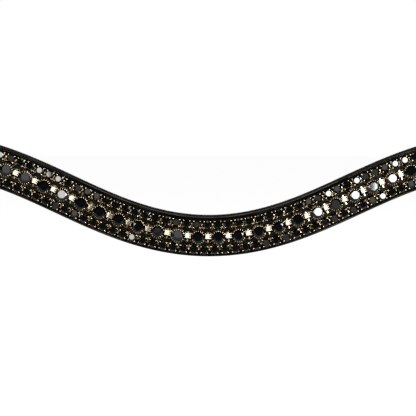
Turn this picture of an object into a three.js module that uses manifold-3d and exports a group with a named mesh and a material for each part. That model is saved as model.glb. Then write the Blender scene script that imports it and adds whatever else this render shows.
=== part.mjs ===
// A curved crystal browband: a padded leather band with a dipped, wave-shaped middle, dressed
// with one row of large claw-set stones between two rows of small ones, and ending at each side
// in a folded strap loop that the headpiece of the bridle passes through.
//
// The band stands as it is worn: X runs along it, the stones face -Y, and +Z is up. The origin
// is on the back of the lining, in the middle of the band.

import * as THREE from 'three';
import { mergeVertices } from 'three/addons/utils/BufferGeometryUtils.js';
import Module from 'manifold-3d';

const wasm = await Module();
wasm.setup();

// Driving dimensions, in millimetres and degrees

const gap = 0.3;               // between pieces that touch

const padHalf = 149;           // padded part, from its middle to either end, along the band
const dipLength = 73.4;        // middle of the band to where it is steepest, along the band
const steepest = 25;           // slope of the band there

const leastBorder = 1.25;      // raised border, at the ends of the band; a wide strap widens it
const borderHeight = 1.6;      // above the floor of the channel between the borders
const fieldDrop = 0.4;         // how much lower the stones sit in the middle of the band
const dropFade = 100;          // distance along the band over which that drop fades out

const liningThickness = 1.0;
const foamThickness = 2.4;
const strapThickness = 2.0;
const coverThickness = 0.8;
const bedThickness = 0.5;
const cornerRound = 1.2;       // outer corners of the lining
const cornerCut = 0.36;        // how far in the middle of such a corner lies from both faces

const largeStone = 7.1;        // diameters of the stones, and the width of their flat tops
const largeTable = 4.1;
const smallStone = 4.3;
const smallTable = 2.7;
const largeCupWall = 0.3;
const smallCupWall = 0.25;
const largeCupHeight = 2.4;
const smallCupHeight = 1.8;
const largeCrown = 1.6;        // height of a stone above the rim it sits on
const smallCrown = 1.2;
const largeFloor = 0.3;        // metal left under the point of a large stone
const largeLink = 2.2;         // plate between two large cups, as long as the cups are apart
const smallLink = 0.26;
const largeLinkWidth = 2.4;
const smallLinkWidth = 1.0;
const linkThickness = 0.6;
const rowClearance = 0.45;     // between the flats of large and small cups
const wallClearance = 0.6;     // between the small cups and the borders
const upperRowShift = -0.5;    // the small rows are laid by hand and end where they end
const lowerRowShift = 0.5;
const fieldMargin = 1.0;       // from the end of the padded part to the first cup

const strapWidth = 16;         // strap ends and loops
const throatLength = 12;       // doubled strap between the padded part and the flex line
const tailStart = 2;           // end of the padded part to the cut end of the tail
const loopLength = 42;         // flex line to the outside of the fold
const loopOpening = 6.4;       // room in the loop, front to back
const loopNeck = 12;           // length over which the loop opens
const neckStart = 4;           // flex line to the point where the two runs part
const neckBow = 6;             // how long the curves of the neck hold on to the straight runs
const webHeight = 0.15;        // filler left in the corner where the two runs part

const threadWidth = 0.6;
const threadThickness = 0.2;
const grooveDepth = 0.5;       // stitch groove in the lining
const grooveInset = 2.0;       // edge of the band to the middle of the groove
const stitchInset = 2.0;       // edge of the strap to the stitch row in the throat

const waveSteps = 36;          // facets along the padded part
const rollSegments = 4;        // facets in each half of the rolled border
const foldSegments = 12;       // facets in each curve of a loop
const largeSides = 8;
const smallSides = 6;

// Sizes that follow

const flatOf = (radius, sides) => radius * Math.cos(Math.PI / sides);
const largeCup = largeStone / 2 + largeCupWall;
const smallCup = smallStone / 2 + smallCupWall;
const rowSpacing = flatOf(largeCup, largeSides) + flatOf(smallCup, smallSides) + rowClearance;
const channelHalf = rowSpacing + flatOf(smallCup, smallSides) + wallClearance;
const bandHalf = Math.max(channelHalf + leastBorder, strapWidth / 2 + gap + coverThickness);
const borderWidth = bandHalf - channelHalf;

// Depths are counted from the back of the lining towards the stones

const foamBack = liningThickness + gap;
const strapBack = foamBack + foamThickness + gap;
const strapFront = strapBack + strapThickness;
const coverBack = strapFront + gap;
const channelFloor = coverBack + coverThickness;
const borderTop = channelFloor + borderHeight;
const bedBack = channelFloor + gap;
const bedFront = bedBack + bedThickness;

// The wave: the heading of the band swells to its steepest and dies away at the padded end

function headingAt(s) {
  const along = Math.abs(s);
  if (along >= padHalf) return 0;
  const share = along <= dipLength
    ? Math.sin(Math.PI / 2 * along / dipLength)
    : Math.cos(Math.PI / 2 * (along - dipLength) / (padHalf - dipLength));
  return Math.sign(s) * THREE.MathUtils.degToRad(steepest) * share;
}

function integrate(fn, s, panels = 64) {
  const h = s / panels;
  let sum = fn(0) + fn(s);
  for (let i = 1; i < panels; i++) sum += (i % 2 ? 4 : 2) * fn(i * h);
  return sum * h / 3;
}

// A point s along the band and u above its centreline, with the heading of the band there
function onWave(s, u) {
  const heading = headingAt(s);
  const x = integrate((t) => Math.cos(headingAt(t)), s) - u * Math.sin(heading);
  const z = integrate((t) => Math.sin(headingAt(t)), s) + u * Math.cos(heading);
  return { x, z, heading };
}

function dropAt(s) {
  const along = Math.min(Math.abs(s) / dropFade, 1);
  return -fieldDrop * (1 + Math.cos(Math.PI * along)) / 2;
}

// Bends a straight piece onto the wave. shareOfDrop says how much of the drop a point takes.
function bend(geometry, shareOfDrop = () => 0) {
  const position = geometry.attributes.position;
  for (let i = 0; i < position.count; i++) {
    const s = position.getX(i);
    const depth = -position.getY(i);
    const u = position.getZ(i);
    const point = onWave(s, u + dropAt(s) * shareOfDrop(Math.abs(u), depth));
    position.setXYZ(i, point.x, -depth, point.z);
  }
  return geometry;
}

// Extrudes a section, drawn as across the band and minus its depth, along the band
function alongBand(shape, halfLength, steps = waveSteps, curveSegments = 1) {
  const geometry = new THREE.ExtrudeGeometry(shape, {
    depth: 2 * halfLength, steps, curveSegments, bevelEnabled: false,
  });
  return geometry.translate(0, 0, -halfLength).rotateY(Math.PI / 2);
}

function shapeFrom(points) {
  return new THREE.Shape(points.map(([across, depth]) => new THREE.Vector2(across, -depth)));
}

function rectangle(halfWidth, back, front) {
  return shapeFrom([[-halfWidth, back], [halfWidth, back], [halfWidth, front], [-halfWidth, front]]);
}

// Manifold joins

const weldDistance = 1e-4;

function solidOf(geometry) {
  const bare = geometry.clone();
  bare.deleteAttribute('normal');
  bare.deleteAttribute('uv');
  const merged = mergeVertices(bare, weldDistance);
  return new wasm.Manifold(new wasm.Mesh({
    numProp: 3,
    vertProperties: new Float32Array(merged.attributes.position.array),
    triVerts: new Uint32Array(merged.index.array),
  }));
}

function geometryOf(solid) {
  const mesh = solid.getMesh();
  const geometry = new THREE.BufferGeometry();
  geometry.setAttribute('position', new THREE.BufferAttribute(mesh.vertProperties, 3));
  geometry.setIndex(new THREE.BufferAttribute(mesh.triVerts, 1));
  geometry.computeVertexNormals();
  return geometry;
}

function joined(geometries) {
  return geometryOf(geometries.map(solidOf).reduce((whole, part) => whole.add(part)));
}

// Materials

const blackLeather = new THREE.MeshStandardMaterial({ color: 0x15120f, roughness: 0.38 });
const liningLeather = new THREE.MeshStandardMaterial({ color: 0x1d1a17, roughness: 0.6 });
const patentLeather = new THREE.MeshStandardMaterial({ color: 0x0c0b0b, roughness: 0.12 });
const foam = new THREE.MeshStandardMaterial({ color: 0x8d8a84, roughness: 0.95 });
const blackThread = new THREE.MeshStandardMaterial({ color: 0x1a1816, roughness: 0.7 });
const champagneGold = new THREE.MeshStandardMaterial({
  color: 0xcdb98e, roughness: 0.25, metalness: 1,
});
const blackCrystal = new THREE.MeshStandardMaterial({ color: 0x0a0a0c, roughness: 0.05 });

const browband = new THREE.Group();

function add(name, geometry, material) {
  const mesh = new THREE.Mesh(geometry, material);
  mesh.name = name;
  browband.add(mesh);
  return mesh;
}

// Lining: a shallow leather tray round the foam, with a stitch groove along each side

const grooveHalf = threadWidth / 2 + gap;
const grooveAt = bandHalf - grooveInset;

function liningSection() {
  const outline = [];
  for (const side of [-1, 1]) {
    const corner = [[bandHalf, strapBack - gap], [bandHalf, cornerRound],
      [bandHalf - cornerCut, cornerCut], [bandHalf - cornerRound, 0],
      [grooveAt + grooveHalf, 0], [grooveAt + grooveHalf, grooveDepth],
      [grooveAt - grooveHalf, grooveDepth], [grooveAt - grooveHalf, 0]];
    const half = corner.map(([across, depth]) => [side * across, depth]);
    outline.push(...(side < 0 ? half : half.reverse()));
  }
  const wall = bandHalf - liningThickness;
  outline.push([wall, strapBack - gap], [wall, liningThickness]);
  outline.push([-wall, liningThickness], [-wall, strapBack - gap]);
  return shapeFrom(outline);
}

add('lining', bend(alongBand(liningSection(), padHalf)), liningLeather);

for (const [name, side] of [['upper_lining_thread', -1], ['lower_lining_thread', 1]]) {
  const section = rectangle(threadWidth / 2, 0, threadThickness);
  const geometry = alongBand(section, padHalf).translate(0, 0, -side * grooveAt);
  add(name, bend(geometry), blackThread);
}

// Foam pad, crowned where it lies in the corners of the lining

const foamHalf = bandHalf - liningThickness - gap;
const foamFront = foamBack + foamThickness;
const foamSection = shapeFrom([
  [-foamHalf, foamBack + cornerRound], [-foamHalf + cornerRound, foamBack],
  [foamHalf - cornerRound, foamBack], [foamHalf, foamBack + cornerRound],
  [foamHalf, foamFront], [-foamHalf, foamFront],
]);
add('foam_pad', bend(alongBand(foamSection, padHalf)), foam);

// Core strap: it carries the load from loop to loop and shows at both ends of the padded part

const flexAt = padHalf + throatLength;
const doubledHalf = strapThickness + gap / 2;      // half the thickness of strap and tail
const strapHalf = flexAt - doubledHalf - gap;
const strapSection = rectangle(strapWidth / 2, strapBack, strapFront);
add('core_strap', bend(alongBand(strapSection, strapHalf, waveSteps + 2)), blackLeather);

// Cover: the glossy front leather, turned back round the strap, with a rolled border each side

const coverWall = bandHalf - coverThickness;

function coverSection() {
  const roll = borderWidth / 2;
  const shape = new THREE.Shape();
  shape.moveTo(-bandHalf, -strapBack);
  shape.lineTo(-bandHalf, -(borderTop - roll));
  shape.absarc(-bandHalf + roll, -(borderTop - roll), roll, Math.PI, 2 * Math.PI, false);
  shape.lineTo(-channelHalf, -channelFloor);
  shape.lineTo(channelHalf, -channelFloor);
  shape.lineTo(channelHalf, -(borderTop - roll));
  shape.absarc(bandHalf - roll, -(borderTop - roll), roll, Math.PI, 2 * Math.PI, false);
  shape.lineTo(bandHalf, -strapBack);
  shape.lineTo(coverWall, -strapBack);
  shape.lineTo(coverWall, -coverBack);
  shape.lineTo(-coverWall, -coverBack);
  shape.lineTo(-coverWall, -strapBack);
  return shape;
}

function borderShareOfDrop(across, depth) {
  if (depth < channelFloor - gap / 2) return 0;
  return THREE.MathUtils.clamp((bandHalf - across) / borderWidth, 0, 1);
}

const coverBlank = alongBand(coverSection(), padHalf, waveSteps, rollSegments);
add('cover', bend(coverBlank, borderShareOfDrop), blackLeather);

// Bed: a strip of patent leather in the channel, under the stones

const bedSection = rectangle(channelHalf - gap, bedBack, bedFront);
add('patent_bed', bend(alongBand(bedSection, padHalf), () => 1), patentLeather);

// Cups and stones. A profile is a list of radius and height above the bed, turned on a lathe
// with its flats along and across the band.

function turned(profile, sides) {
  const points = profile.map(([radius, height]) => new THREE.Vector2(radius, height));
  return new THREE.LatheGeometry(points, sides).rotateY(Math.PI / sides).rotateX(Math.PI);
}

// The place of the piece that lies "along" a row which runs "above" the centreline
function onRow(along, above) {
  let s = along;
  for (let i = 0; i < 8; i++) s = along + above * headingAt(s);
  return onWave(s, above + dropAt(s));
}

function setOnRow(geometry, along, above) {
  const { x, z, heading } = onRow(along, above);
  return geometry.rotateY(-heading).translate(x, -bedFront, z);
}

function evenPlaces(pitch, shift, radius, startsAtMiddle) {
  const first = startsAtMiddle ? 0 : pitch / 2;
  const reach = padHalf - fieldMargin - radius - Math.abs(shift) - first;
  const steps = Math.floor(reach / pitch);
  const places = [];
  for (let i = -steps; i <= steps; i++) {
    if (startsAtMiddle) places.push(shift + i * pitch);
    else places.push(shift + Math.sign(i || 1) * (first + Math.abs(i) * pitch));
  }
  if (!startsAtMiddle) places.push(shift - first);
  return places.sort((a, b) => a - b);
}

function links(places, above, length, width, height) {
  const result = [];
  for (let i = 1; i < places.length; i++) {
    const bar = new THREE.BoxGeometry(length, linkThickness, width);
    bar.translate(0, -height, 0);
    result.push(setOnRow(bar, (places[i - 1] + places[i]) / 2, above));
  }
  return result;
}

// Large row: the cups are one chain with square link plates, and every stone is a piece

const largePitch = 2 * largeCup + largeLink;
const largeRim = gap + largeCupHeight;
const largeSeat = largeRim + gap;
const largePoint = gap + largeFloor + gap;
const stoneRadius = largeStone / 2;
const largePlaces = evenPlaces(largePitch, 0, largeCup, false);

const cupProfile = [[0, gap], [largeCup, gap], [largeCup, largeRim], [stoneRadius, largeRim],
  [0, largePoint - gap]];
const stoneProfile = [[0, largePoint], [stoneRadius, largeSeat],
  [largeTable / 2, largeSeat + largeCrown], [0, largeSeat + largeCrown]];
const linkBite = 0.8;          // how far a link reaches into each cup's wall
const largeLinkLength = largePitch - 2 * (flatOf(largeCup, largeSides) - linkBite);

add('large_cup_chain', joined([
  ...largePlaces.map((along) => setOnRow(turned(cupProfile, largeSides), along, 0)),
  ...links(largePlaces, 0, largeLinkLength, largeLinkWidth, gap + largeCupHeight / 2),
]), champagneGold);

largePlaces.forEach((along, i) => {
  const { x, z, heading } = onRow(along, 0);
  const stone = add(`large_stone_${String(i + 1).padStart(2, '0')}`,
    turned(stoneProfile, largeSides), blackCrystal);
  stone.position.set(x, -bedFront, z);
  stone.rotation.y = -heading;
});

// Small rows: cups, links and stones of each row as one solid

const smallPitch = 2 * smallCup + smallLink;
const smallRim = gap + smallCupHeight;
const setProfile = [[0, gap], [smallCup, gap], [smallCup, smallRim],
  [smallTable / 2, smallRim + smallCrown], [0, smallRim + smallCrown]];
const smallLinkLength = smallPitch - 2 * (smallCup - linkBite);

for (const [name, above, shift, startsAtMiddle] of [
  ['upper_small_row', rowSpacing, upperRowShift, true],
  ['lower_small_row', -rowSpacing, lowerRowShift, false],
]) {
  const places = evenPlaces(smallPitch, shift, smallCup, startsAtMiddle);
  add(name, joined([
    ...places.map((along) => setOnRow(turned(setProfile, smallSides).rotateY(Math.PI / smallSides),
      along, above)),
    ...links(places, above, smallLinkLength, smallLinkWidth, gap + smallCupHeight / 2),
  ]), champagneGold);
}

// Strap ends. Everything past the padded part is drawn at the right end, in plan, and turned
// over for the left end. Its X starts at the end of the padded part.

const end = onWave(padHalf, 0);
const flex = throatLength;                         // flex line, from the padded end
const tailFront = strapBack - gap;
const tailBack = tailFront - strapThickness;

function upright(shape, height, side) {
  const points = shape.extractPoints(foldSegments);
  const turn = (point) => new THREE.Vector2(side * (end.x + point.x), point.y);
  const outline = new THREE.Shape(points.shape.map(turn));
  outline.holes = points.holes.map((hole) => new THREE.Path(hole.map(turn)));
  const geometry = new THREE.ExtrudeGeometry(outline, { depth: height, bevelEnabled: false });
  return geometry.translate(0, 0, end.z - height / 2);
}

// The tail of the strap, sewn behind the strap between the padded part and the flex line
function tailShape() {
  return shapeFrom([[tailStart, tailBack], [tailStart, tailFront],
    [flex - doubledHalf - gap, tailFront], [flex - doubledHalf - gap, tailBack]]);
}

// The loop: a flat front run, a fold, and a rear run that closes on the front run at the neck
function loopShape() {
  const innerRadius = loopOpening / 2;
  const outerRadius = innerRadius + strapThickness;
  const foldX = flex + loopLength - outerRadius;
  const foldY = -(strapBack - innerRadius);
  const front = foldY - outerRadius;
  const rear = foldY + outerRadius;
  const axis = front + doubledHalf;
  const neckEnd = flex + neckStart + loopNeck;
  const outline = new THREE.Shape();
  outline.moveTo(flex, front);
  outline.lineTo(foldX, front);
  outline.absarc(foldX, foldY, outerRadius, -Math.PI / 2, Math.PI / 2, false);
  outline.lineTo(neckEnd - strapThickness, rear);
  outline.bezierCurveTo(neckEnd - strapThickness - neckBow, rear,
    flex + neckBow, axis + doubledHalf, flex, axis + doubledHalf);
  outline.absarc(flex, axis, doubledHalf, Math.PI / 2, 3 * Math.PI / 2, false);
  const inside = foldY - innerRadius;
  const seatStart = flex + neckStart + loopNeck / 2;
  const opening = new THREE.Path();
  opening.moveTo(seatStart, inside);
  opening.lineTo(flex + neckStart, inside + webHeight);
  opening.bezierCurveTo(flex + neckStart + neckBow, inside + webHeight,
    neckEnd - neckBow, foldY + innerRadius, neckEnd, foldY + innerRadius);
  opening.lineTo(foldX, foldY + innerRadius);
  opening.absarc(foldX, foldY, innerRadius, Math.PI / 2, -Math.PI / 2, true);
  outline.holes.push(opening);
  return outline;
}

// Thread that sews strap and tail together, one closed run on the front of the strap
function stitchShape() {
  const start = tailStart + stitchInset;
  const stop = flex - doubledHalf - gap - stitchInset;
  const half = strapWidth / 2 - stitchInset;
  const run = (inset) => [[start + inset, -half + inset], [stop - inset, -half + inset],
    [stop - inset, half - inset], [start + inset, half - inset]];
  const shape = shapeFrom(run(0));
  shape.holes.push(new THREE.Path(shapeFrom(run(threadWidth)).getPoints().reverse()));
  return shape;
}

function stitchRun(side) {
  const geometry = new THREE.ExtrudeGeometry(stitchShape(), {
    depth: threadThickness, bevelEnabled: false,
  });
  geometry.rotateX(Math.PI / 2).translate(end.x, -(strapFront + gap), end.z);
  return side > 0 ? geometry : geometry.rotateZ(Math.PI).translate(0, -2 * (strapFront + gap)
    - threadThickness, 0);
}

for (const [name, side] of [['left', -1], ['right', 1]]) {
  add(`${name}_tail`, upright(tailShape(), strapWidth, side), blackLeather);
  add(`${name}_loop`, upright(loopShape(), strapWidth, side), blackLeather);
  add(`${name}_stitching`, stitchRun(side), blackThread);
}

export default browband;
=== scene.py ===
# A wave-shaped crystal browband: padded black leather with a rolled border, three rows of
# black crystals in champagne-gold cups, and a folded strap loop at each end.

import bmesh
import bpy
import numpy as np
from mathutils import Matrix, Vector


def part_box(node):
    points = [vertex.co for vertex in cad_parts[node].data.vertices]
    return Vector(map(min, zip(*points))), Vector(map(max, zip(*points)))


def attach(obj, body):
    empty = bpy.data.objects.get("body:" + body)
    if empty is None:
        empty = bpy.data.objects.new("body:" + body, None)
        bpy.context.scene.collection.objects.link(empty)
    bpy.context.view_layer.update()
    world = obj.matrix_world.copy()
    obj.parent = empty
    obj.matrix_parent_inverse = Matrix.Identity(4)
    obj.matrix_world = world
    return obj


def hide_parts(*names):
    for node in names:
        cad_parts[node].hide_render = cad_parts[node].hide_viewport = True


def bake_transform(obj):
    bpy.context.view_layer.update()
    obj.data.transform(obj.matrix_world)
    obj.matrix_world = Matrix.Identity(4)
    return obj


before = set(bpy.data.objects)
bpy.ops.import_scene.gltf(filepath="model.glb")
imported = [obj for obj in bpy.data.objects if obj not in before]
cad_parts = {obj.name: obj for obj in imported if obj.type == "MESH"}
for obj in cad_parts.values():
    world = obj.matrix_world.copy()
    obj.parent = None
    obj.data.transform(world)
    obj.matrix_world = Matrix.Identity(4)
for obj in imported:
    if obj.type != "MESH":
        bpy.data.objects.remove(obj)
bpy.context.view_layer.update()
mm = 0.001


# ---- Camera -------------------------------------------------------------------------------
# A long lens in front of the stones, looking down on them very slightly. The picture is half as
# wide as the browband is long, so both ends run out of it.

scene = bpy.context.scene
view_width = 202 * mm
view_centre = np.array([-0.3, -10.0, 13.9]) * mm
view_drop, view_roll = np.radians(4), np.radians(-0.15)
camera = bpy.data.objects.new("camera", bpy.data.cameras.new("camera"))
camera.data.lens = 100
view_distance = view_width * camera.data.lens / camera.data.sensor_width
camera.location = view_centre + view_distance * np.array(
    [0, -np.cos(view_drop), np.sin(view_drop)])
camera.rotation_euler = (np.pi / 2 - view_drop, view_roll, 0)
scene.collection.objects.link(camera)
scene.camera = camera


# ---- Shader sums --------------------------------------------------------------------------
# A finish is one material. Its node method adds any node, and the sockets it gives back can
# be added, multiplied and so on as plain Python values. The room's light is one such tree too.

class Shade:
    """An output socket that can be reckoned with: each operator adds its Math node."""

    def __init__(self, tree, socket):
        self.tree = tree
        self.socket = socket

    def math(self, operation, first, second):
        return self.tree.node("ShaderNodeMath", {"operation": operation}, {0: first, 1: second})

    def __add__(self, other):
        return self.math("ADD", self, other)

    def __mul__(self, other):
        return self.math("MULTIPLY", self, other)

    def __rsub__(self, other):
        return self.math("SUBTRACT", other, self)

    __radd__ = __add__
    __rmul__ = __mul__


class ShaderTree:
    """A node tree, with a way to add any node and short ways to add the common ones."""

    def __init__(self, node_tree):
        self.nodes = node_tree.nodes
        self.links = node_tree.links

    def node(self, kind, settings, inputs, output=0):
        """Adds a node, sets it, fills its inputs with values or links, and gives an output."""
        made = self.nodes.new(kind)
        for key, value in settings.items():
            setattr(made, key, value)
        self.fill(made, inputs)
        return Shade(self, made.outputs[output])

    def fill(self, target, inputs):
        for key, value in inputs.items():
            if isinstance(value, Shade):
                self.links.new(value.socket, target.inputs[key])
            else:
                target.inputs[key].default_value = value

    def place(self):
        """Object coordinates."""
        return self.node("ShaderNodeTexCoord", {}, {}, 3)

    def along_surface(self, scale):
        """The piece's own UV map, with each axis scaled on its own."""
        uv = self.node("ShaderNodeTexCoord", {}, {}, 2)
        return self.node("ShaderNodeMapping", {}, {"Vector": uv, "Scale": scale})

    def noise(self, vector, scale, detail):
        return self.node("ShaderNodeTexNoise", {}, {"Vector": vector, "Scale": scale,
                                                    "Detail": detail})

    def cells(self, vector, scale):
        return self.node("ShaderNodeTexVoronoi", {}, {"Vector": vector, "Scale": scale})

    def blend(self, share, first, second):
        """A colour between two colours."""
        return self.node("ShaderNodeMix", {"data_type": "RGBA"},
                         {0: share, 6: (*first, 1), 7: (*second, 1)}, 2)

    def bump(self, height, strength, distance):
        return self.node("ShaderNodeBump", {}, {"Height": height, "Strength": strength,
                                                "Distance": distance})

    def spread(self, value, low, high):
        """Stretches the part of a value between low and high to run from 0 to 1."""
        return self.node("ShaderNodeMapRange", {}, {0: value, 1: low, 2: high})


class Finish(ShaderTree):
    """A material on one Principled shader, whose fixed numbers are given by socket name."""

    def __init__(self, name, fixed):
        self.material = bpy.data.materials.new(name)
        self.material.use_nodes = True
        super().__init__(self.material.node_tree)
        self.shader = self.nodes["Principled BSDF"]
        self.fill(self.shader, fixed)

    def vary(self, inputs):
        """Feeds what changes over the surface to the shader."""
        self.fill(self.shader, inputs)
        return self.material


# ---- Stage and light ----------------------------------------------------------------------
# White floor and surround as the camera sees them. To everything else the room is nearly dark,
# and glows only ahead of the stones, more so upwards, so that their sloping facets stay black.
# The gold catches two softboxes beside the camera, a strip overhead and two boxes at the rear.

floor_drop, floor_half = 160 * mm, 8.0
floor_mesh = bpy.data.meshes.new("floor")
floor_mesh.from_pydata([(x * floor_half, y * floor_half, -floor_drop)
                        for x, y in ((-1, -1), (1, -1), (1, 1), (-1, 1))], [], [(0, 1, 2, 3)])
floor = bpy.data.objects.new("floor", floor_mesh)
scene.collection.objects.link(floor)
floor_finish = Finish("pale floor", {"Roughness": 0.9, "Emission Strength": 0.93})
seen = floor_finish.node("ShaderNodeLightPath", {}, {})
floor_mesh.materials.append(floor_finish.vary({
    "Base Color": floor_finish.blend(seen, (0.3, 0.3, 0.3), (0.8, 0.8, 0.8)),
    "Emission Color": floor_finish.blend(seen, (0, 0, 0), (1, 1, 1)),
}))

surround = bpy.data.worlds.new("surround")
surround.use_nodes = True
scene.world = surround
room = ShaderTree(surround.node_tree)
way = room.node("ShaderNodeTexCoord", {}, {}, 0)
back, up = (room.node("ShaderNodeSeparateXYZ", {}, {0: way}, axis) for axis in (1, 2))
front = room.spread(0 - back, 0.80, 0.97)
glow = room.spread(up, -0.12, 0.22)
strength = 0.03 + front * (0.24 + 1.4 * glow)
either = room.node("ShaderNodeMixShader", {}, {
    0: room.node("ShaderNodeLightPath", {}, {}),
    1: room.node("ShaderNodeBackground", {}, {"Strength": strength}),
    2: room.node("ShaderNodeBackground", {}, {"Color": (1, 1, 1, 1)})})
room.links.new(either.socket, room.nodes["World Output"].inputs["Surface"])
scene.view_settings.view_transform = "Standard"


def softbox(name, centre, aim, size, radiance, color=(1, 1, 1)):
    """A rectangular area light whose surface has the given radiance."""
    light = bpy.data.lights.new(name, "AREA")
    light.shape = "RECTANGLE"
    light.size, light.size_y = size
    light.energy = 4 * radiance * size[0] * size[1]
    light.color = color
    made = bpy.data.objects.new(name, light)
    scene.collection.objects.link(made)
    centre, aim = np.array(centre), np.array(aim)
    back = (centre - aim) / np.linalg.norm(centre - aim)
    side = np.cross([0, 0, 1], back)
    side /= np.linalg.norm(side)
    turn = np.eye(4)
    turn[:3, 0], turn[:3, 1], turn[:3, 2], turn[:3, 3] = side, np.cross(back, side), back, centre
    made.matrix_world = Matrix(turn.tolist())


side_x, side_y, side_z = 0.46, -0.74, 0.06
side_size, warm_white = (0.54, 0.62), (1, 0.97, 0.92)
softbox("right_softbox", (side_x, side_y, side_z), (0.30, 0, 0.02), side_size, 17)
softbox("left_softbox", (-side_x, side_y, side_z), (-0.30, 0, 0.02), side_size, 8, warm_white)
softbox("overhead_strip", (0.0, 0.05, 0.82), (0, 0, 0), (0.9, 0.12), 1.5)
softbox("right_rear_softbox", (1.0, 0.5, 0.2), (0, 0, 0), (0.5, 0.6), 7)
softbox("left_rear_softbox", (-1.0, 0.5, 0.2), (0, 0, 0), (0.5, 0.6), 4)


# ---- Wave ---------------------------------------------------------------------------------
# The band dips in the middle and levels out at both ends of the padded part. Every piece of
# that part is laid out flat, along the band, up its face and forward, then set on the wave.

pad_half = 149 * mm
dip_length = 73.4 * mm
steepest = np.radians(25)


def heading_at(along):
    """Grows as a quarter sine to the steepest point, then fades as a quarter cosine to level."""
    a = np.abs(along)
    rise = np.sin(np.pi / 2 * np.clip(a / dip_length, 0, 1))
    fade = np.cos(np.pi / 2 * np.clip((a - dip_length) / (pad_half - dip_length), 0, 1))
    return np.sign(along) * steepest * np.where(a < dip_length, rise, fade)


track_half, track_step = 210 * mm, 0.05 * mm
track = np.linspace(-track_half, track_half, round(2 * track_half / track_step) + 1)
track_heading = heading_at(track)


def run_of(component):
    """The running integral of a component of the heading, zero in the middle of the band."""
    steps = (component[1:] + component[:-1]) / 2 * np.diff(track)
    total = np.concatenate([[0], np.cumsum(steps)])
    return total - total[len(track) // 2]


track_x, track_z = run_of(np.cos(track_heading)), run_of(np.sin(track_heading))
end_x, end_z = (float(np.interp(pad_half, track, t)) for t in (track_x, track_z))


def on_wave(along, up, forward):
    """Points in the row frame: along the band, up its face square to it, and forward."""
    turn = heading_at(along)
    x = np.interp(along, track, track_x) - up * np.sin(turn)
    z = np.interp(along, track, track_z) + up * np.cos(turn)
    return np.stack([x, -forward + 0 * x, z], axis=-1)


# Depths from the back of the lining towards the stones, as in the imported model
seat = 0.3 * mm
strap_back = -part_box("core_strap")[1][1]
strap_front = -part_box("core_strap")[0][1]
bed_front = -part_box("patent_bed")[0][1]
field_drop, drop_fade = 0.4 * mm, 100 * mm


def drop_at(along):
    """How far the stones sit below the middle of the face: a raised cosine along the band."""
    a = np.clip(np.abs(along) / drop_fade, 0, 1)
    return -field_drop * (1 + np.cos(np.pi * a)) / 2


# ---- Meshes from grids --------------------------------------------------------------------
# A surface is a grid of points. Closed ways join their last row to their first, and flat caps
# close the two ends of a tube.

def grid_faces(rows, columns, wrap):
    """Quads of a grid whose columns run round when wrap is set."""
    i, j = np.meshgrid(np.arange(rows - 1), np.arange(columns if wrap else columns - 1),
                       indexing="ij")
    k = (j + 1) % columns
    corners = [i * columns + j, (i + 1) * columns + j, (i + 1) * columns + k, i * columns + k]
    return np.stack(corners, axis=-1).reshape(-1, 4)


def piece(name, points, faces, finish, body="brow", stands_for=(), smooth=True,
          uv=None, sharpest=None):
    """Makes the object, gives it its finish and lets it ride on its body. Edges that
    turn by more than the sharpest angle stay crisp."""
    mesh = bpy.data.meshes.new(name)
    mesh.from_pydata(points.reshape(-1, 3).tolist(), [], faces)
    if uv is not None:
        layer = mesh.uv_layers.new(name="surface")
        vertex = np.empty(len(mesh.loops), dtype=np.int32)
        mesh.loops.foreach_get("vertex_index", vertex)
        layer.data.foreach_set("uv", uv.reshape(-1, 2)[vertex].astype(np.float32).ravel())
    shell = bmesh.new()
    shell.from_mesh(mesh)
    bmesh.ops.recalc_face_normals(shell, faces=shell.faces)
    shell.to_mesh(mesh)
    shell.free()
    mesh.polygons.foreach_set("use_smooth", np.full(len(mesh.polygons), smooth))
    if sharpest:
        mesh.set_sharp_from_angle(angle=sharpest)
    mesh.materials.append(finish)
    made = bpy.data.objects.new(name, mesh)
    scene.collection.objects.link(made)
    if body:
        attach(made, body)
    if stands_for:
        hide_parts(*stands_for)
    return made


def tube_faces(rows, columns):
    """A tube's quads with a flat cap on each end."""
    first = list(range(columns))
    last = [(rows - 1) * columns + c for c in range(columns)]
    return grid_faces(rows, columns, True).tolist() + [first[::-1], last]


def stations(half, fine_end, fine_step, coarse_step):
    """Places from end to end, closer together near both ends."""
    inner = np.linspace(-half + fine_end, half - fine_end,
                        int(2 * (half - fine_end) / coarse_step) + 1)
    outer = np.linspace(half - fine_end, half, int(fine_end / fine_step) + 1)[1:]
    return np.concatenate([-outer[::-1], inner, outer])


# ---- Cover --------------------------------------------------------------------------------
# Glossy black bridle leather, moulded over the strap. A rolled border stands up all round a
# sunk channel, and the leather turns back down the sides to the seam with the lining.

band_half = 10.0 * mm
cover_back = strap_front + seat
cover_thickness = 0.8 * mm
channel_floor = cover_back + cover_thickness
border_width, border_height = 1.25 * mm, 1.6 * mm
corner = 4.0 * mm
touch = 0.02 * mm
seam_depth = strap_back - seat + touch

cover_finish = Finish("cover leather", {"Specular IOR Level": 0.28, "Coat Weight": 0.05,
                                        "Coat Roughness": 0.15})
streak = cover_finish.noise(cover_finish.along_surface((90, 2600, 1)), 1.0, 4.0)
pores = cover_finish.cells(cover_finish.place(), 2100.0)
worn = cover_finish.spread(streak, 0.45, 0.75)
grain = pores * 0.6 + streak * 0.2
cover_leather = cover_finish.vary({
    "Base Color": cover_finish.blend(worn, (0.0008, 0.0007, 0.0006), (0.012, 0.0095, 0.007)),
    "Roughness": 0.16 + 0.28 * streak,
    "Normal": cover_finish.bump(grain, 0.3, 0.06 * mm),
})


def half_width_at(along, half_length, half_width, radius):
    """Half the width of a rectangle with round corners, at a place along it."""
    past = np.clip(np.abs(along) - (half_length - radius), 0, radius)
    return half_width - radius + np.sqrt(radius ** 2 - past ** 2)


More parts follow.
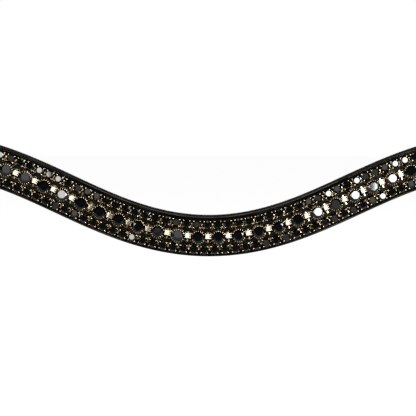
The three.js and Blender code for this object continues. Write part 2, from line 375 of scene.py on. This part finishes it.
def edge_distance(along, up, half_length, half_width, radius):
    """Distance inwards from the outline of that rectangle."""
    qa = np.abs(along) - (half_length - radius)
    qu = np.abs(up) - (half_width - radius)
    outside = np.hypot(np.maximum(qa, 0), np.maximum(qu, 0))
    return radius - outside - np.minimum(np.maximum(qa, qu), 0)


def cover_points():
    """Front face from edge to edge as a height over the outline, with a half-round border that
    is wider above and narrower below where the stones sit low, then sides and underside."""
    along = stations(pad_half, fine_end=6 * mm, fine_step=0.2 * mm, coarse_step=0.8 * mm)
    flat, edge_step = 0.8, 0.35
    roll = (1 - np.cos(np.linspace(0, np.pi, 11))) / 2 * (1 - flat)
    across = np.concatenate([-1 + roll, np.linspace(-flat, flat, 15)[1:-1], 1 - roll[::-1]])
    s, v = np.meshgrid(along, across, indexing="ij")
    u = v * half_width_at(s, pad_half, band_half, corner)
    edge = edge_distance(s, u, pad_half, band_half, corner)
    width = border_width - np.sign(u) * drop_at(s)
    share = np.clip(edge / width, 0, 1)
    rise = np.sqrt(np.clip(1 - (2 * share - 1) ** 2, 0, 1)) * (share < 1)
    base = np.where(share < 0.5, border_height * edge_step, 0)
    front = channel_floor + base + (border_height - base) * rise
    side_depth = np.array([0.75, 0.5, 0.25, 0.0])
    top = front[:, :1]
    sides = seam_depth + (top - seam_depth) * side_depth
    swell = 0.12 * mm * np.sin(np.pi * side_depth)
    right_u, left_u = u[:, -1:] + swell, u[:, :1] - swell
    under = np.linspace(0.92, -0.92, 6)
    under_depth = np.full((len(along), len(under)), cover_back)
    u_ring = np.concatenate([u, right_u, u[:, -1:] * under, left_u[:, ::-1]], axis=1)
    d_ring = np.concatenate([front, sides, under_depth, sides[:, ::-1]], axis=1)
    s_ring = np.repeat(along[:, None], u_ring.shape[1], axis=1)
    points = on_wave(s_ring, u_ring, d_ring)
    step = np.linalg.norm(np.diff(points, axis=1, prepend=points[:, :1]), axis=-1)
    return points, np.stack([s_ring, np.cumsum(step, axis=1)], axis=-1)


points, uv = cover_points()
piece("cover_leather", points, tube_faces(*points.shape[:2]), cover_leather,
      stands_for=["cover"], uv=uv, sharpest=np.radians(50))


# ---- Bed ----------------------------------------------------------------------------------
# A strip of black patent leather glued into the channel. The cups are sewn down on it, which
# leaves it faintly quilted.

channel_half = band_half - border_width
bed_thickness, bed_corner = 0.5 * mm, corner - 1.6 * mm
bed_end_gap, bed_side_gap = 1.8 * mm, 0.15 * mm

bed_finish = Finish("patent leather", {"Specular IOR Level": 0.03})
ripple = bed_finish.noise(bed_finish.place(), 320.0, 2.0)
patent_leather = bed_finish.vary({
    "Base Color": bed_finish.blend(ripple, (0.0002, 0.0002, 0.0002), (0.0018, 0.0015, 0.0012)),
    "Roughness": 0.22 + 0.25 * ripple,
    "Normal": bed_finish.bump(ripple, 0.5, 0.25 * mm),
})


def bed_points():
    """A flat strip whose front swells and dips as a low product of waves."""
    half = pad_half - bed_end_gap
    along = np.linspace(-half, half, 420)
    across = np.linspace(-1, 1, 13)
    s, v = np.meshgrid(along, across, indexing="ij")
    u = v * half_width_at(s, half, channel_half - bed_side_gap, bed_corner)
    quilt = 0.08 * mm * np.sin(s / (1.6 * mm)) * np.cos(v * 4.5)
    front = bed_front + quilt
    back = np.full_like(front, bed_front - bed_thickness)
    u_ring = np.concatenate([u, u[:, ::-1]], axis=1)
    s_ring = np.concatenate([s, s], axis=1)
    d_ring = np.concatenate([front, back], axis=1)
    return on_wave(s_ring, u_ring + drop_at(s_ring), d_ring)


points = bed_points()
piece("patent_bed_strip", points, tube_faces(*points.shape[:2]), patent_leather,
      stands_for=["patent_bed"])


# ---- Stones -------------------------------------------------------------------------------
# Black glass chatons with a flat table, eight kites, eight stars and sixteen girdle facets.
# Each is set by hand, so its table leans a little; some lean into the light and flash.

large_stone, large_table = 7.1 * mm, 4.0 * mm
small_stone, small_table = 4.3 * mm, 2.7 * mm
large_cup, small_cup = 3.75 * mm, 2.3 * mm
large_rim, small_rim = 2.7 * mm, 2.1 * mm
large_crown, small_crown = 1.6 * mm, 1.2 * mm
large_pitch, small_pitch = 9.9 * mm, 5.06 * mm
row_spacing = 6.09 * mm
upper_shift, lower_shift = -0.5 * mm, 0.5 * mm

crystal_finish = Finish("black crystal", {"IOR": 1.6})
cloud = crystal_finish.noise(crystal_finish.place(), 260.0, 2.0)
dust = crystal_finish.noise(crystal_finish.place(), 2400.0, 2.0)
black_crystal = crystal_finish.vary({
    "Base Color": crystal_finish.blend(cloud, (0.0001, 0.0001, 0.0001), (0.0006, 0.0006, 0.0008)),
    "Roughness": 0.015 + 0.05 * dust,
})


def cut_stone(diameter, table, girdle_height, crown):
    """Rings of points at eighths and sixteenths of a turn, from table to girdle to point."""
    def ring(radius, height, count, offset=0.0):
        a = 2 * np.pi * (np.arange(count) + offset) / count
        return np.stack([radius * np.cos(a), radius * np.sin(a), np.full(count, height)], axis=-1)
    radius, flat = diameter / 2, table / 2
    band, pavilion = 0.03 * diameter, 0.3 * diameter
    share = 0.42
    middle = flat + share * (radius - flat)
    inset = (middle * np.cos(np.pi / 8) - flat) / (radius - flat)
    fall = inset * (crown - band)
    points = np.concatenate([
        ring(flat, girdle_height + crown, 8), ring(middle, girdle_height + crown - fall, 8, 0.5),
        ring(radius, girdle_height + band, 16), ring(radius, girdle_height, 16),
        [[0, 0, girdle_height - pavilion]]])
    t, m, g, b, tip = 0, 8, 16, 32, 48
    faces = [list(range(8))]
    for k in range(8):
        n, before = (k + 1) % 8, (k - 1) % 8
        g0, g1, g2 = g + 2 * k, g + 2 * k + 1, g + (2 * k + 2) % 16
        faces += [[t + k, m + k, t + n], [t + k, m + before, g0, m + k],
                  [m + k, g0, g1], [m + k, g1, g2]]
    for k in range(16):
        n = (k + 1) % 16
        faces += [[g + k, b + k, b + n, g + n], [b + k, tip, b + n]]
    return points, faces


def row_place(along, above):
    """Where a piece lies that is so far along a row which runs above the middle of the face:
    the row is shorter on the inside of a bend by its height times the change of heading."""
    s = along
    for _ in range(8):
        s = along + above * heading_at(s)
    return s, above + drop_at(s)


def set_in_row(local, along, above, lean=(0.0, 0.0)):
    """Turns a local shape (along, up, forward of the bed) to the row, leaning it first by small
    angles: towards the right and upwards."""
    a, b, h = np.moveaxis(np.asarray(local), -1, 0)
    right, up = lean
    a, h = a * np.cos(right) + h * np.sin(right), h * np.cos(right) - a * np.sin(right)
    b, h = b * np.cos(up) + h * np.sin(up), h * np.cos(up) - b * np.sin(up)
    s, u = row_place(along, above)
    turn = heading_at(s)
    origin = on_wave(s, u, bed_front)
    x = origin[0] + a * np.cos(turn) - b * np.sin(turn)
    z = origin[2] + a * np.sin(turn) + b * np.cos(turn)
    return np.stack([x, origin[1] - h, z], axis=-1)


rng = np.random.default_rng(7)
glow_height = {"b": -0.15, "d": -0.02, "g": 0.24}


def lean_of(along, above, letter):
    """How a stone or plate leans, as a letter for what its flat mirrors towards the front:
    b, d and g are the dark, dim and brightest part of the room ahead, l and w the near edge and
    the body of the softbox on its side."""
    s, u = row_place(along, above)
    place = on_wave(s, u, bed_front)
    to_eye = np.array(camera.location) - place
    if letter in glow_height:
        to_light = np.array([0.0, -1.0, glow_height[letter]])
    else:
        out = 0.205 if letter == "l" else 0.27
        to_light = np.array([np.sign(place[0]) * out, side_y, side_z]) - place
    facing = to_eye / np.linalg.norm(to_eye) + to_light / np.linalg.norm(to_light)
    facing[[0, 2]] += rng.uniform(-0.03, 0.03, 2)
    turn = heading_at(s)
    right = facing[0] * np.cos(turn) + facing[2] * np.sin(turn)
    up = facing[2] * np.cos(turn) - facing[0] * np.sin(turn)
    return np.arctan2(right, -facing[1]), np.arctan2(up, -facing[1])


def row_places(pitch, shift, radius, starts_in_middle):
    """Even places to both sides of the middle, as many as the padded part holds."""
    first = 0 if starts_in_middle else pitch / 2
    end_margin = 1.0 * mm
    space = pad_half - end_margin - radius - abs(shift) - first
    steps = int(np.floor(space / pitch + 1e-9))
    away = first + pitch * np.arange(steps + 1)
    both = np.concatenate([-away[::-1], away[1:] if starts_in_middle else away])
    return both + shift


large_places = row_places(large_pitch, 0, large_cup, False)
upper_places = row_places(small_pitch, upper_shift, small_cup, True)
lower_places = row_places(small_pitch, lower_shift, small_cup, False)
# One letter per stone from the left: the left end, the part in view and the right end
leans = {
    "large": "dbwb" "ggblbbdbdgbdbdbdwdwlwb" "gwbd",
    "upper": "bdbgbdb" "wdbbllwddggbbbbbbbdbdbbbbbbdbdbgdwgbwddgwwb" "gdwbdbd",
    "lower": "dbgbdbb" "dbbbdbddgbbbbblbbbbbbbbbbbbdbddbddddddgwbbgb" "wbdgbdb",
}
rows = {"upper": (upper_places, row_spacing), "lower": (lower_places, -row_spacing)}

shape, faces = cut_stone(large_stone, large_table, large_rim + seat, large_crown)
for count, (along, letter) in enumerate(zip(large_places, leans["large"]), 1):
    piece(f"large_crystal_{count:02d}",
          set_in_row(shape, along, 0, lean_of(along, 0, letter)), faces, black_crystal,
          stands_for=[f"large_stone_{count:02d}"], smooth=False)

shape, faces = cut_stone(small_stone, small_table, small_rim, small_crown)
for row, (places, above) in rows.items():
    points = np.concatenate([set_in_row(shape, along, above, lean_of(along, above, letter))
                             for along, letter in zip(places, leans[row])])
    all_faces = [[i + n * len(shape) for i in face]
                 for n in range(len(places)) for face in faces]
    piece(f"{row}_small_crystals", points, all_faces, black_crystal,
          smooth=False)


# ---- Cups and links -----------------------------------------------------------------------
# Pressed brass, plated champagne gold. Large cups have fourteen claws and small ones four, bent
# over the edge of the stone. Polished square plates with three teeth link the large cups, and
# short bars with a ring of wire link the small ones.

pressed_edge = np.radians(65)

gold_finish = Finish("champagne gold", {"Metallic": 1.0})
tarnish = gold_finish.spread(gold_finish.noise(gold_finish.place(), 420.0, 4.0), 0.42, 0.72)
scratch = gold_finish.noise(gold_finish.place(), 1800.0, 3.0)
champagne_gold = gold_finish.vary({
    "Base Color": gold_finish.blend(tarnish, (0.38, 0.31, 0.205), (0.11, 0.08, 0.045)),
    "Roughness": 0.15 + 0.20 * scratch,
    "Normal": gold_finish.bump(scratch, 0.2, 0.04 * mm),
})


def lathe(profile, sides):
    """A closed profile of radius and height, turned round the forward axis."""
    a = 2 * np.pi * np.arange(sides) / sides
    r, h = np.array(profile).T
    points = np.stack([np.outer(np.cos(a), r), np.outer(np.sin(a), r),
                       np.broadcast_to(h, (sides, len(h)))], axis=-1)
    i, j = np.meshgrid(np.arange(sides), np.arange(len(profile)), indexing="ij")
    k, n = (i + 1) % sides, (j + 1) % len(profile)
    c = len(profile)
    quads = np.stack([i * c + j, k * c + j, k * c + n, i * c + n], axis=-1).reshape(-1, 4)
    return points.reshape(-1, 3), quads.tolist()


def claw(route, widths, thicknesses, sides=6):
    """A tapered prong: an oval carried along a route of radius and height, closed at its tip."""
    route = np.array(route, float)
    way = np.gradient(route, axis=0)
    way /= np.linalg.norm(way, axis=1, keepdims=True)
    normal = np.stack([way[:, 1], -way[:, 0]], axis=-1)
    a = 2 * np.pi * (np.arange(sides) + 0.5) / sides
    t = np.array(thicknesses)[:, None] / 2 * np.cos(a)
    w = np.array(widths)[:, None] / 2 * np.sin(a)
    r = route[:, :1] + normal[:, :1] * t
    h = route[:, 1:] + normal[:, 1:] * t
    points = np.stack([r, w, h], axis=-1)
    faces = grid_faces(len(route), sides, True).tolist()
    ends = [list(range(sides))[::-1], [(len(route) - 1) * sides + c for c in range(sides)]]
    return points.reshape(-1, 3), faces + ends


def turned(points, a):
    """A shape turned about the forward axis."""
    x, y, h = points.T
    return np.stack([x * np.cos(a) - y * np.sin(a), x * np.sin(a) + y * np.cos(a), h], axis=-1)


def merged(shapes):
    """One list of points and faces from several."""
    points, faces, start = [], [], 0
    for shape, shape_faces in shapes:
        points.append(shape)
        faces += [[i + start for i in face] for face in shape_faces]
        start += len(shape)
    return np.concatenate(points), faces


def cup_wall(outer, stone, rim, sides):
    """A cup wall open towards the stone, with its foot and rim rounded off."""
    inner = stone / 2 - 0.1 * mm
    foot = [(inner, 0.5 * mm), (outer - 0.1 * mm, 0.1 * mm), (outer, 0.4 * mm)]
    top = [(outer, rim - 0.15 * mm), (outer - 0.08 * mm, rim), (inner, rim - 0.1 * mm)]
    return lathe(foot + top, sides)


def bar(length, width, low, high, middle=(0, 0)):
    """A plain block, lying along the row."""
    x, y = length / 2, width / 2
    points = np.array([(i * x + middle[0], j * y + middle[1], h)
                       for h in (low, high) for j in (-1, 1) for i in (-1, 1)])
    faces = [[0, 2, 3, 1], [4, 5, 7, 6], [0, 1, 5, 4], [2, 6, 7, 3], [0, 4, 6, 2], [1, 3, 7, 5]]
    return points, faces


def crowned_plate(length, width, low, high, crown, columns=7):
    """A plate whose top is arched along the row."""
    x = np.linspace(-1, 1, columns)
    top, base = high - crown * x ** 2, np.full(columns, low)
    ring = [np.stack([x * length / 2, np.full(columns, side * width / 2), level], axis=-1)
            for side, level in ((-1, base), (-1, top), (1, top), (1, base))]
    points = np.stack(ring, axis=1)
    return points.reshape(-1, 3), tube_faces(columns, 4)


def wire_ring(radius, thickness, height, middle):
    """A ring of round wire lying flat."""
    profile = [(radius + thickness / 2 * np.cos(a), height + thickness / 2 * np.sin(a))
               for a in 2 * np.pi * np.arange(6) / 6]
    points, faces = lathe(profile, 12)
    return points + [*middle, 0], faces


def small_cup_shape():
    """A cup with four claws that rise outside its wall and close on the crown."""
    route = np.array([(0.05, -0.9), (0.28, -0.2), (0.42, 0.28), (0.34, 0.62), (0.02, 0.74),
                      (-0.24, 0.76)]) * mm + [small_stone / 2, small_rim]
    points, faces = claw(route, np.array([0.55, 0.60, 0.66, 0.66, 0.52, 0.26]) * mm,
                         np.array([0.25, 0.34, 0.44, 0.46, 0.34, 0.16]) * mm)
    return merged([cup_wall(small_cup, small_stone, small_rim, 14),
                   *[(turned(points, np.pi / 2 * (k + 0.5)), faces) for k in range(4)]])


def claw_reach(along, angles):
    """How far the foot of each claw runs out before it comes near a small cup."""
    longest, clearance = 5.1 * mm, 0.3 * mm
    out = np.linspace(large_cup + 0.1 * mm, longest, 28)
    local = np.stack([np.outer(np.cos(angles), out), np.outer(np.sin(angles), out),
                      np.zeros((len(angles), len(out)))], axis=-1)
    placed = set_in_row(local, along, 0)
    gap = np.linalg.norm(placed[..., None, ::2] - small_centres[:, ::2], axis=-1).min(axis=-1)
    free = np.cumprod(gap > small_cup + clearance, axis=1).sum(axis=1)
    return out[np.maximum(free - 1, 0)]


def large_cup_shape(along):
    """A cup with eighteen places for long claws, less the four beside its links. Each claw
    starts as a foot that slopes down outwards as far as there is room, bends over the rim and
    closes on the crown."""
    claw_places, beside_link = 18, 0.3
    angles = 2 * np.pi * (np.arange(claw_places) + 0.5) / claw_places
    angles = angles[np.abs(np.sin(angles)) > beside_link]
    shapes = [cup_wall(large_cup, large_stone, large_rim, 28)]
    knee = large_cup + 0.12 * mm
    for a, reach in zip(angles, claw_reach(along, angles)):
        away = [reach, (reach + knee) / 2, knee, 3.72 * mm, 3.42 * mm, 3.1 * mm, 2.85 * mm]
        height = np.array([1.75, 2.35, 2.8, 3.35, 3.78, 4.05, 4.15]) * mm
        points, faces = claw(np.stack([away, height], axis=-1),
                             np.array([0.40, 0.52, 0.60, 0.60, 0.56, 0.50, 0.28]) * mm,
                             np.array([0.24, 0.28, 0.30, 0.32, 0.30, 0.26, 0.12]) * mm)
        shapes.append((turned(points, a), faces))
    return merged(shapes)


def link_plate():
    """A square plate with three teeth at its right side that hook into the next cup."""
    points, faces = crowned_plate(length=1.6 * mm, width=2.3 * mm, low=1.5 * mm, high=2.15 * mm,
                                  crown=0.03 * mm)
    to_left, tooth_middle, tooth_spacing = 0.3 * mm, 0.85 * mm, 0.92 * mm
    teeth = [bar(length=0.9 * mm, width=0.42 * mm, low=1.55 * mm, high=2.0 * mm,
                 middle=(tooth_middle, k * tooth_spacing)) for k in (-1, 0, 1)]
    return merged([(points - [to_left, 0, 0], faces), *teeth])


def link_tabs():
    """Two narrow tabs that hold the plate to the bed, above and below it."""
    to_left, spacing = 0.25 * mm, 1.9 * mm
    return merged([bar(length=0.6 * mm, width=1.1 * mm, low=0.6 * mm, high=1.4 * mm,
                       middle=(-to_left, k * spacing)) for k in (-1, 1)])


def row_of(shapes_at, above):
    """Several shapes set along a row with their leans, as one list of points and faces."""
    return merged([(set_in_row(points, along, above, lean), faces)
                   for (points, faces), along, lean in shapes_at])


small_centres = np.concatenate([on_wave(*row_place(places, above), bed_front)
                                for places, above in rows.values()])
between = (large_places[1:] + large_places[:-1]) / 2
tab_lean = (0.08, -0.10)
points, faces = row_of([*[(large_cup_shape(a), a, (0, 0)) for a in large_places],
                        *[(link_tabs(), a, tab_lean) for a in between]], 0)
piece("large_claw_cups", points, faces, champagne_gold,
      stands_for=["large_cup_chain"], sharpest=pressed_edge)

polished_finish = Finish("polished plate", {"Metallic": 1.0})
haze = polished_finish.noise(polished_finish.place(), 900.0, 3.0)
edge_tone = polished_finish.noise(polished_finish.place(), 300.0, 2.0)
polished_gold = polished_finish.vary({
    "Base Color": polished_finish.blend(edge_tone, (0.95, 0.90, 0.80), (0.80, 0.70, 0.52)),
    "Roughness": 0.06 + 0.12 * haze,
    "Normal": polished_finish.bump(haze, 0.1, 0.03 * mm),
})
plate_leans = "ggdg" "ggggddddgggggggggggg" "gdggg"
points, faces = row_of([(link_plate(), a, lean_of(a, 0, letter))
                        for a, letter in zip(between, plate_leans)], 0)
piece("large_link_plates", points, faces, polished_gold, smooth=False)

small = small_cup_shape()
for row, (places, above) in rows.items():
    between = (places[1:] + places[:-1]) / 2
    inwards, loosest = -np.sign(above) * 1.35 * mm, 0.1
    tie = merged([bar(length=1.5 * mm, width=0.7 * mm, low=0.6 * mm, high=1.1 * mm),
                  wire_ring(radius=0.55 * mm, thickness=0.22 * mm, height=1.2 * mm,
                            middle=(0, inwards))])
    points, faces = row_of([*[(small, a, (0, 0)) for a in places],
                            *[(tie, a, rng.uniform(-loosest, loosest, 2)) for a in between]],
                           above)
    piece(f"{row}_claw_cups", points, faces, champagne_gold,
          stands_for=[f"{row}_small_row"], sharpest=pressed_edge)


# ---- Lining and foam ----------------------------------------------------------------------
# Soft black lining leather, stretched over closed-cell foam and sewn along a groove near each
# edge, so that it swells between the two seams. It closes round both ends of the foam.

lining_finish = Finish("lining leather", {"Specular IOR Level": 0.4, "Sheen Weight": 0.15,
                                          "Sheen Roughness": 0.5})
lining_wall, end_wall = 1.0 * mm, 1.2 * mm
pebble = lining_finish.cells(lining_finish.place(), 1300.0)
crease = lining_finish.noise(lining_finish.place(), 160.0, 5.0)
lining_leather = lining_finish.vary({
    "Base Color": lining_finish.blend(crease, (0.006, 0.0055, 0.005), (0.03, 0.026, 0.023)),
    "Roughness": 0.5 + 0.2 * crease,
    "Normal": lining_finish.bump(pebble * 0.7 + crease * 0.6, 0.5, 0.12 * mm),
})

groove_at, groove_half, groove_depth = band_half - 2.0 * mm, 0.5 * mm, 0.45 * mm


def lining_points():
    """A tray section: round corners, a groove at each seam and a low swell between them. The
    floor of the tray comes up to its rim in a wall across each end."""
    along = stations(pad_half, fine_end=3 * mm, fine_step=0.25 * mm, coarse_step=1.2 * mm)
    s, v = np.meshgrid(along, np.linspace(-1, 1, 61), indexing="ij")
    u = v * half_width_at(s, pad_half, band_half, corner)
    edge = edge_distance(s, u, pad_half, band_half, corner)
    round_off = 1.6 * mm
    fall = np.clip(1 - edge / round_off, 0, 1)
    back = round_off * (1 - np.sqrt(1 - fall ** 2))
    groove = groove_depth * np.exp(-((np.abs(u) - groove_at) / (groove_half * 0.8)) ** 2)
    swell = 0.5 * mm * np.clip(1 - (u / (groove_at - groove_half)) ** 2, 0, 1)
    from_groove = np.abs(u) - groove_at + 1 * mm
    ripple = 0.07 * mm * np.sin(s / (1.9 * mm)) * np.exp(-(from_groove / (0.8 * mm)) ** 2)
    ends = np.clip((pad_half - np.abs(s)) / (8 * mm), 0, 1)
    depth = back + groove * (ends > 0.2) - (swell + ripple) * ends * (2 - ends)
    wall = strap_back - seat
    floor_depth = np.where(np.abs(s[:, :1]) > pad_half - end_wall, wall - touch, end_wall)
    rim = np.linspace(0.3, 1.0, 3)
    first, edge_at = depth[:, -1:], u[:, -1:]
    side_u = np.concatenate([edge_at + 0 * rim, edge_at - lining_wall + 0 * rim], axis=1)
    climb = np.concatenate([first + (wall - first) * rim,
                            wall + (floor_depth - wall) * (1 - rim[::-1])], axis=1)
    inner_u = np.linspace(1, -1, 5)[1:-1] * (edge_at - lining_wall)
    u_ring = np.concatenate([u, side_u, inner_u, -side_u[:, ::-1]], axis=1)
    d_ring = np.concatenate([depth, climb, floor_depth + 0 * inner_u, climb[:, ::-1]], axis=1)
    s_ring = np.repeat(along[:, None], u_ring.shape[1], axis=1)
    return on_wave(s_ring, u_ring, d_ring)


points = lining_points()
lining = piece("padded_lining", points, tube_faces(*points.shape[:2]), lining_leather,
               stands_for=["lining"], sharpest=np.radians(50))

foam_finish = Finish("foam", {"Roughness": 0.95})
bubbles = foam_finish.cells(foam_finish.place(), 2600.0)
closed_cell_foam = foam_finish.vary({
    "Base Color": foam_finish.blend(bubbles, (0.16, 0.155, 0.145), (0.34, 0.33, 0.31)),
    "Normal": foam_finish.bump(bubbles, 0.6, 0.2 * mm),
})


def foam_points():
    """A round-cornered slab that fills the tray, held clear of the leather by the seat gap."""
    half = pad_half - end_wall - seat
    along = stations(half, fine_end=4 * mm, fine_step=0.5 * mm, coarse_step=2 * mm)
    width = half_width_at(along, pad_half, band_half, corner) - lining_wall - seat
    low, high, slope = end_wall + seat, strap_back - seat, 0.8 * mm
    u = np.outer(width, [-1, -0.93, 0.93, 1, 1, -1])
    d = np.broadcast_to([low + slope, low, low, low + slope, high, high], u.shape)
    return on_wave(np.repeat(along[:, None], u.shape[1], axis=1), u, d)


points = foam_points()
piece("foam_slab", points, tube_faces(*points.shape[:2]), closed_cell_foam,
      stands_for=["foam_pad"], sharpest=np.radians(30))


# ---- Thread -------------------------------------------------------------------------------
# Waxed black polyester, sewn in a lock stitch. Each stitch is a short bead of thread that dips
# into the leather at both ends.

thread_finish = Finish("waxed thread", {"Roughness": 0.5, "Sheen Weight": 0.3,
                                        "Specular IOR Level": 0.2})
ply = thread_finish.noise(thread_finish.place(), 2600.0, 2.0)
waxed_thread = thread_finish.vary({
    "Base Color": thread_finish.blend(ply, (0.012, 0.011, 0.010), (0.05, 0.046, 0.042)),
    "Roughness": 0.35 + 0.3 * ply,
    "Normal": thread_finish.bump(ply, 0.5, 0.08 * mm),
})
stitch_length, stitch_gap, thread = 2.6 * mm, 0.5 * mm, 0.6 * mm


def stitch(length):
    """A bead along the first axis: round in section, arched as a half sine over its length."""
    count, sides = 7, 8
    t = np.linspace(0, 1, count)
    a = 2 * np.pi * np.arange(sides) / sides
    thick = thread / 2 * (0.55 + 0.45 * np.sin(np.pi * t))
    lift = thread * (0.55 * np.sin(np.pi * t) - 0.25)
    points = np.stack([np.repeat((t[:, None] - 0.5) * length, sides, axis=1),
                       np.outer(thick, np.cos(a)), np.outer(thick, np.sin(a)) + lift[:, None]],
                      axis=-1)
    return points.reshape(-1, 3), tube_faces(count, sides)


bead, bead_faces = stitch(stitch_length)
step = stitch_length + stitch_gap
per_side = int((pad_half - 6 * mm) / step)
seam_places = np.arange(-per_side, per_side + 1) * step
sunk = 0.12 * mm
for row, side in (("upper", 1), ("lower", -1)):
    points, faces = merged([(on_wave(a + bead[:, 0], side * groove_at + bead[:, 1],
                                     groove_depth - sunk - bead[:, 2]), bead_faces)
                            for a in seam_places])
    piece(f"{row}_lining_stitches", points, faces, waxed_thread,
          stands_for=[f"{row}_lining_thread"])


# ---- Core strap ---------------------------------------------------------------------------
# The strap that joins the two loops. It is hidden in the padded part, and the strap ends below
# carry on from it.

strap_width, strap_thickness = 16 * mm, strap_front - strap_back

strap_finish = Finish("strap leather", {"Specular IOR Level": 0.28, "Coat Weight": 0.06,
                                        "Coat Roughness": 0.25})
hide = strap_finish.cells(strap_finish.place(), 1700.0)
mottle = strap_finish.noise(strap_finish.place(), 240.0, 5.0)
strap_leather = strap_finish.vary({
    "Base Color": strap_finish.blend(strap_finish.spread(mottle, 0.35, 0.75),
                                     (0.0012, 0.0011, 0.001), (0.011, 0.009, 0.0075)),
    "Roughness": 0.34 + 0.25 * mottle,
    "Normal": strap_finish.bump(hide * 0.6 + mottle * 0.5, 0.45, 0.08 * mm),
})


def strap_section():
    """Round-edged strap with a creased line near each edge of its outer face."""
    half, edge = strap_width / 2, 0.7 * mm
    crease_at, crease_depth, crease_half = half - 2 * mm, 0.16 * mm, 0.3 * mm
    a = np.linspace(-np.pi / 2, np.pi / 2, 7)
    over = strap_thickness / 2
    right_u, right_t = half - edge + edge * np.cos(a), over * np.sin(a)
    across = np.linspace(half - edge, -half + edge, 41)[1:-1]
    outer_t = over - crease_depth * np.exp(-((np.abs(across) - crease_at) / crease_half) ** 2)
    inner = np.linspace(-half + edge, half - edge, 7)[1:-1]
    u = np.concatenate([right_u, across, -right_u[::-1], inner])
    t = np.concatenate([right_t, outer_t, right_t[::-1], np.full(len(inner), -over)])
    return u, t


section_u, section_t = strap_section()
strap_reach = pad_half - 4 * mm
along = np.linspace(-strap_reach, strap_reach, 160)
s, u = np.meshgrid(along, section_u, indexing="ij")
t = np.broadcast_to(section_t, s.shape)
points = on_wave(s, u, (strap_back + strap_front) / 2 + t)
piece("core_strap_leather", points, tube_faces(*points.shape[:2]), strap_leather,
      stands_for=["core_strap"])


# ---- Strap ends ---------------------------------------------------------------------------
# At each end the strap runs out of the padded part, folds back on itself round the headpiece
# and is sewn down behind itself.

throat, loop_length, loop_opening = 12 * mm, 42 * mm, 6.4 * mm
flex_x = end_x + throat
tail_start, neck = 2 * mm, 16 * mm
half_strap = strap_thickness / 2
front_y = -(strap_back + half_strap)
tail_y = -(strap_back - seat - half_strap)
fold_radius = loop_opening / 2 + half_strap
fold_x = flex_x + loop_length - fold_radius - half_strap
rear_y = front_y + 2 * fold_radius
throat_stitch, throat_sunk = 2.7 * mm, 0.05 * mm


def strap_route():
    """Plan of the right end: straight out, a half circle back, a smooth step down to the tail."""
    out = np.linspace(end_x - 4 * mm, fold_x, 60)
    a = np.linspace(-np.pi / 2, np.pi / 2, 33)[1:-1]
    back = np.linspace(fold_x, flex_x + neck, 24)
    share = np.linspace(1, 0, 32)[1:]
    eased = share ** 2 * (3 - 2 * share)
    tail = np.linspace(flex_x, end_x + tail_start, 14)[1:]
    x = np.concatenate([out, fold_x + fold_radius * np.cos(a), back, flex_x + neck * share, tail])
    y = np.concatenate([np.full_like(out, front_y), front_y + fold_radius * (1 + np.sin(a)),
                        np.full_like(back, rear_y), tail_y + (rear_y - tail_y) * eased,
                        np.full_like(tail, tail_y)])
    return x, y


def strap_end_points(side):
    """The strap's section, carried square to its route."""
    x, y = strap_route()
    dx, dy = np.gradient(x), np.gradient(y)
    length = np.hypot(dx, dy)
    outward_x, outward_y = dy / length, -dx / length
    px = x[:, None] + outward_x[:, None] * section_t
    py = y[:, None] + outward_y[:, None] * section_t
    pz = end_z + np.broadcast_to(section_u, px.shape)
    return np.stack([side * px, py, pz], axis=-1)


for hand, side in (("left", -1), ("right", 1)):
    points = strap_end_points(side)
    strap_end = piece(f"{hand}_strap_end", points, tube_faces(*points.shape[:2]), strap_leather,
                      body=None,
                      stands_for=[f"{hand}_loop", f"{hand}_tail"])
    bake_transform(strap_end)

    # Two upright rows of stitches hold the tail, seen on the strap's face and on the tail
    beads = []
    for x in (3.6 * mm, 7.2 * mm):
        for height in np.arange(-2, 3) * throat_stitch:
            for y, out in ((-strap_front, -1), (tail_y + half_strap, 1)):
                beads.append((np.stack([side * (end_x + x) + bead[:, 1],
                                        y + out * (bead[:, 2] - throat_sunk),
                                        end_z + height + bead[:, 0] * 0.9], axis=-1), bead_faces))
    points, faces = merged(beads)
    piece(f"{hand}_throat_stitches", points, faces, waxed_thread,
          stands_for=[f"{hand}_stitching"])
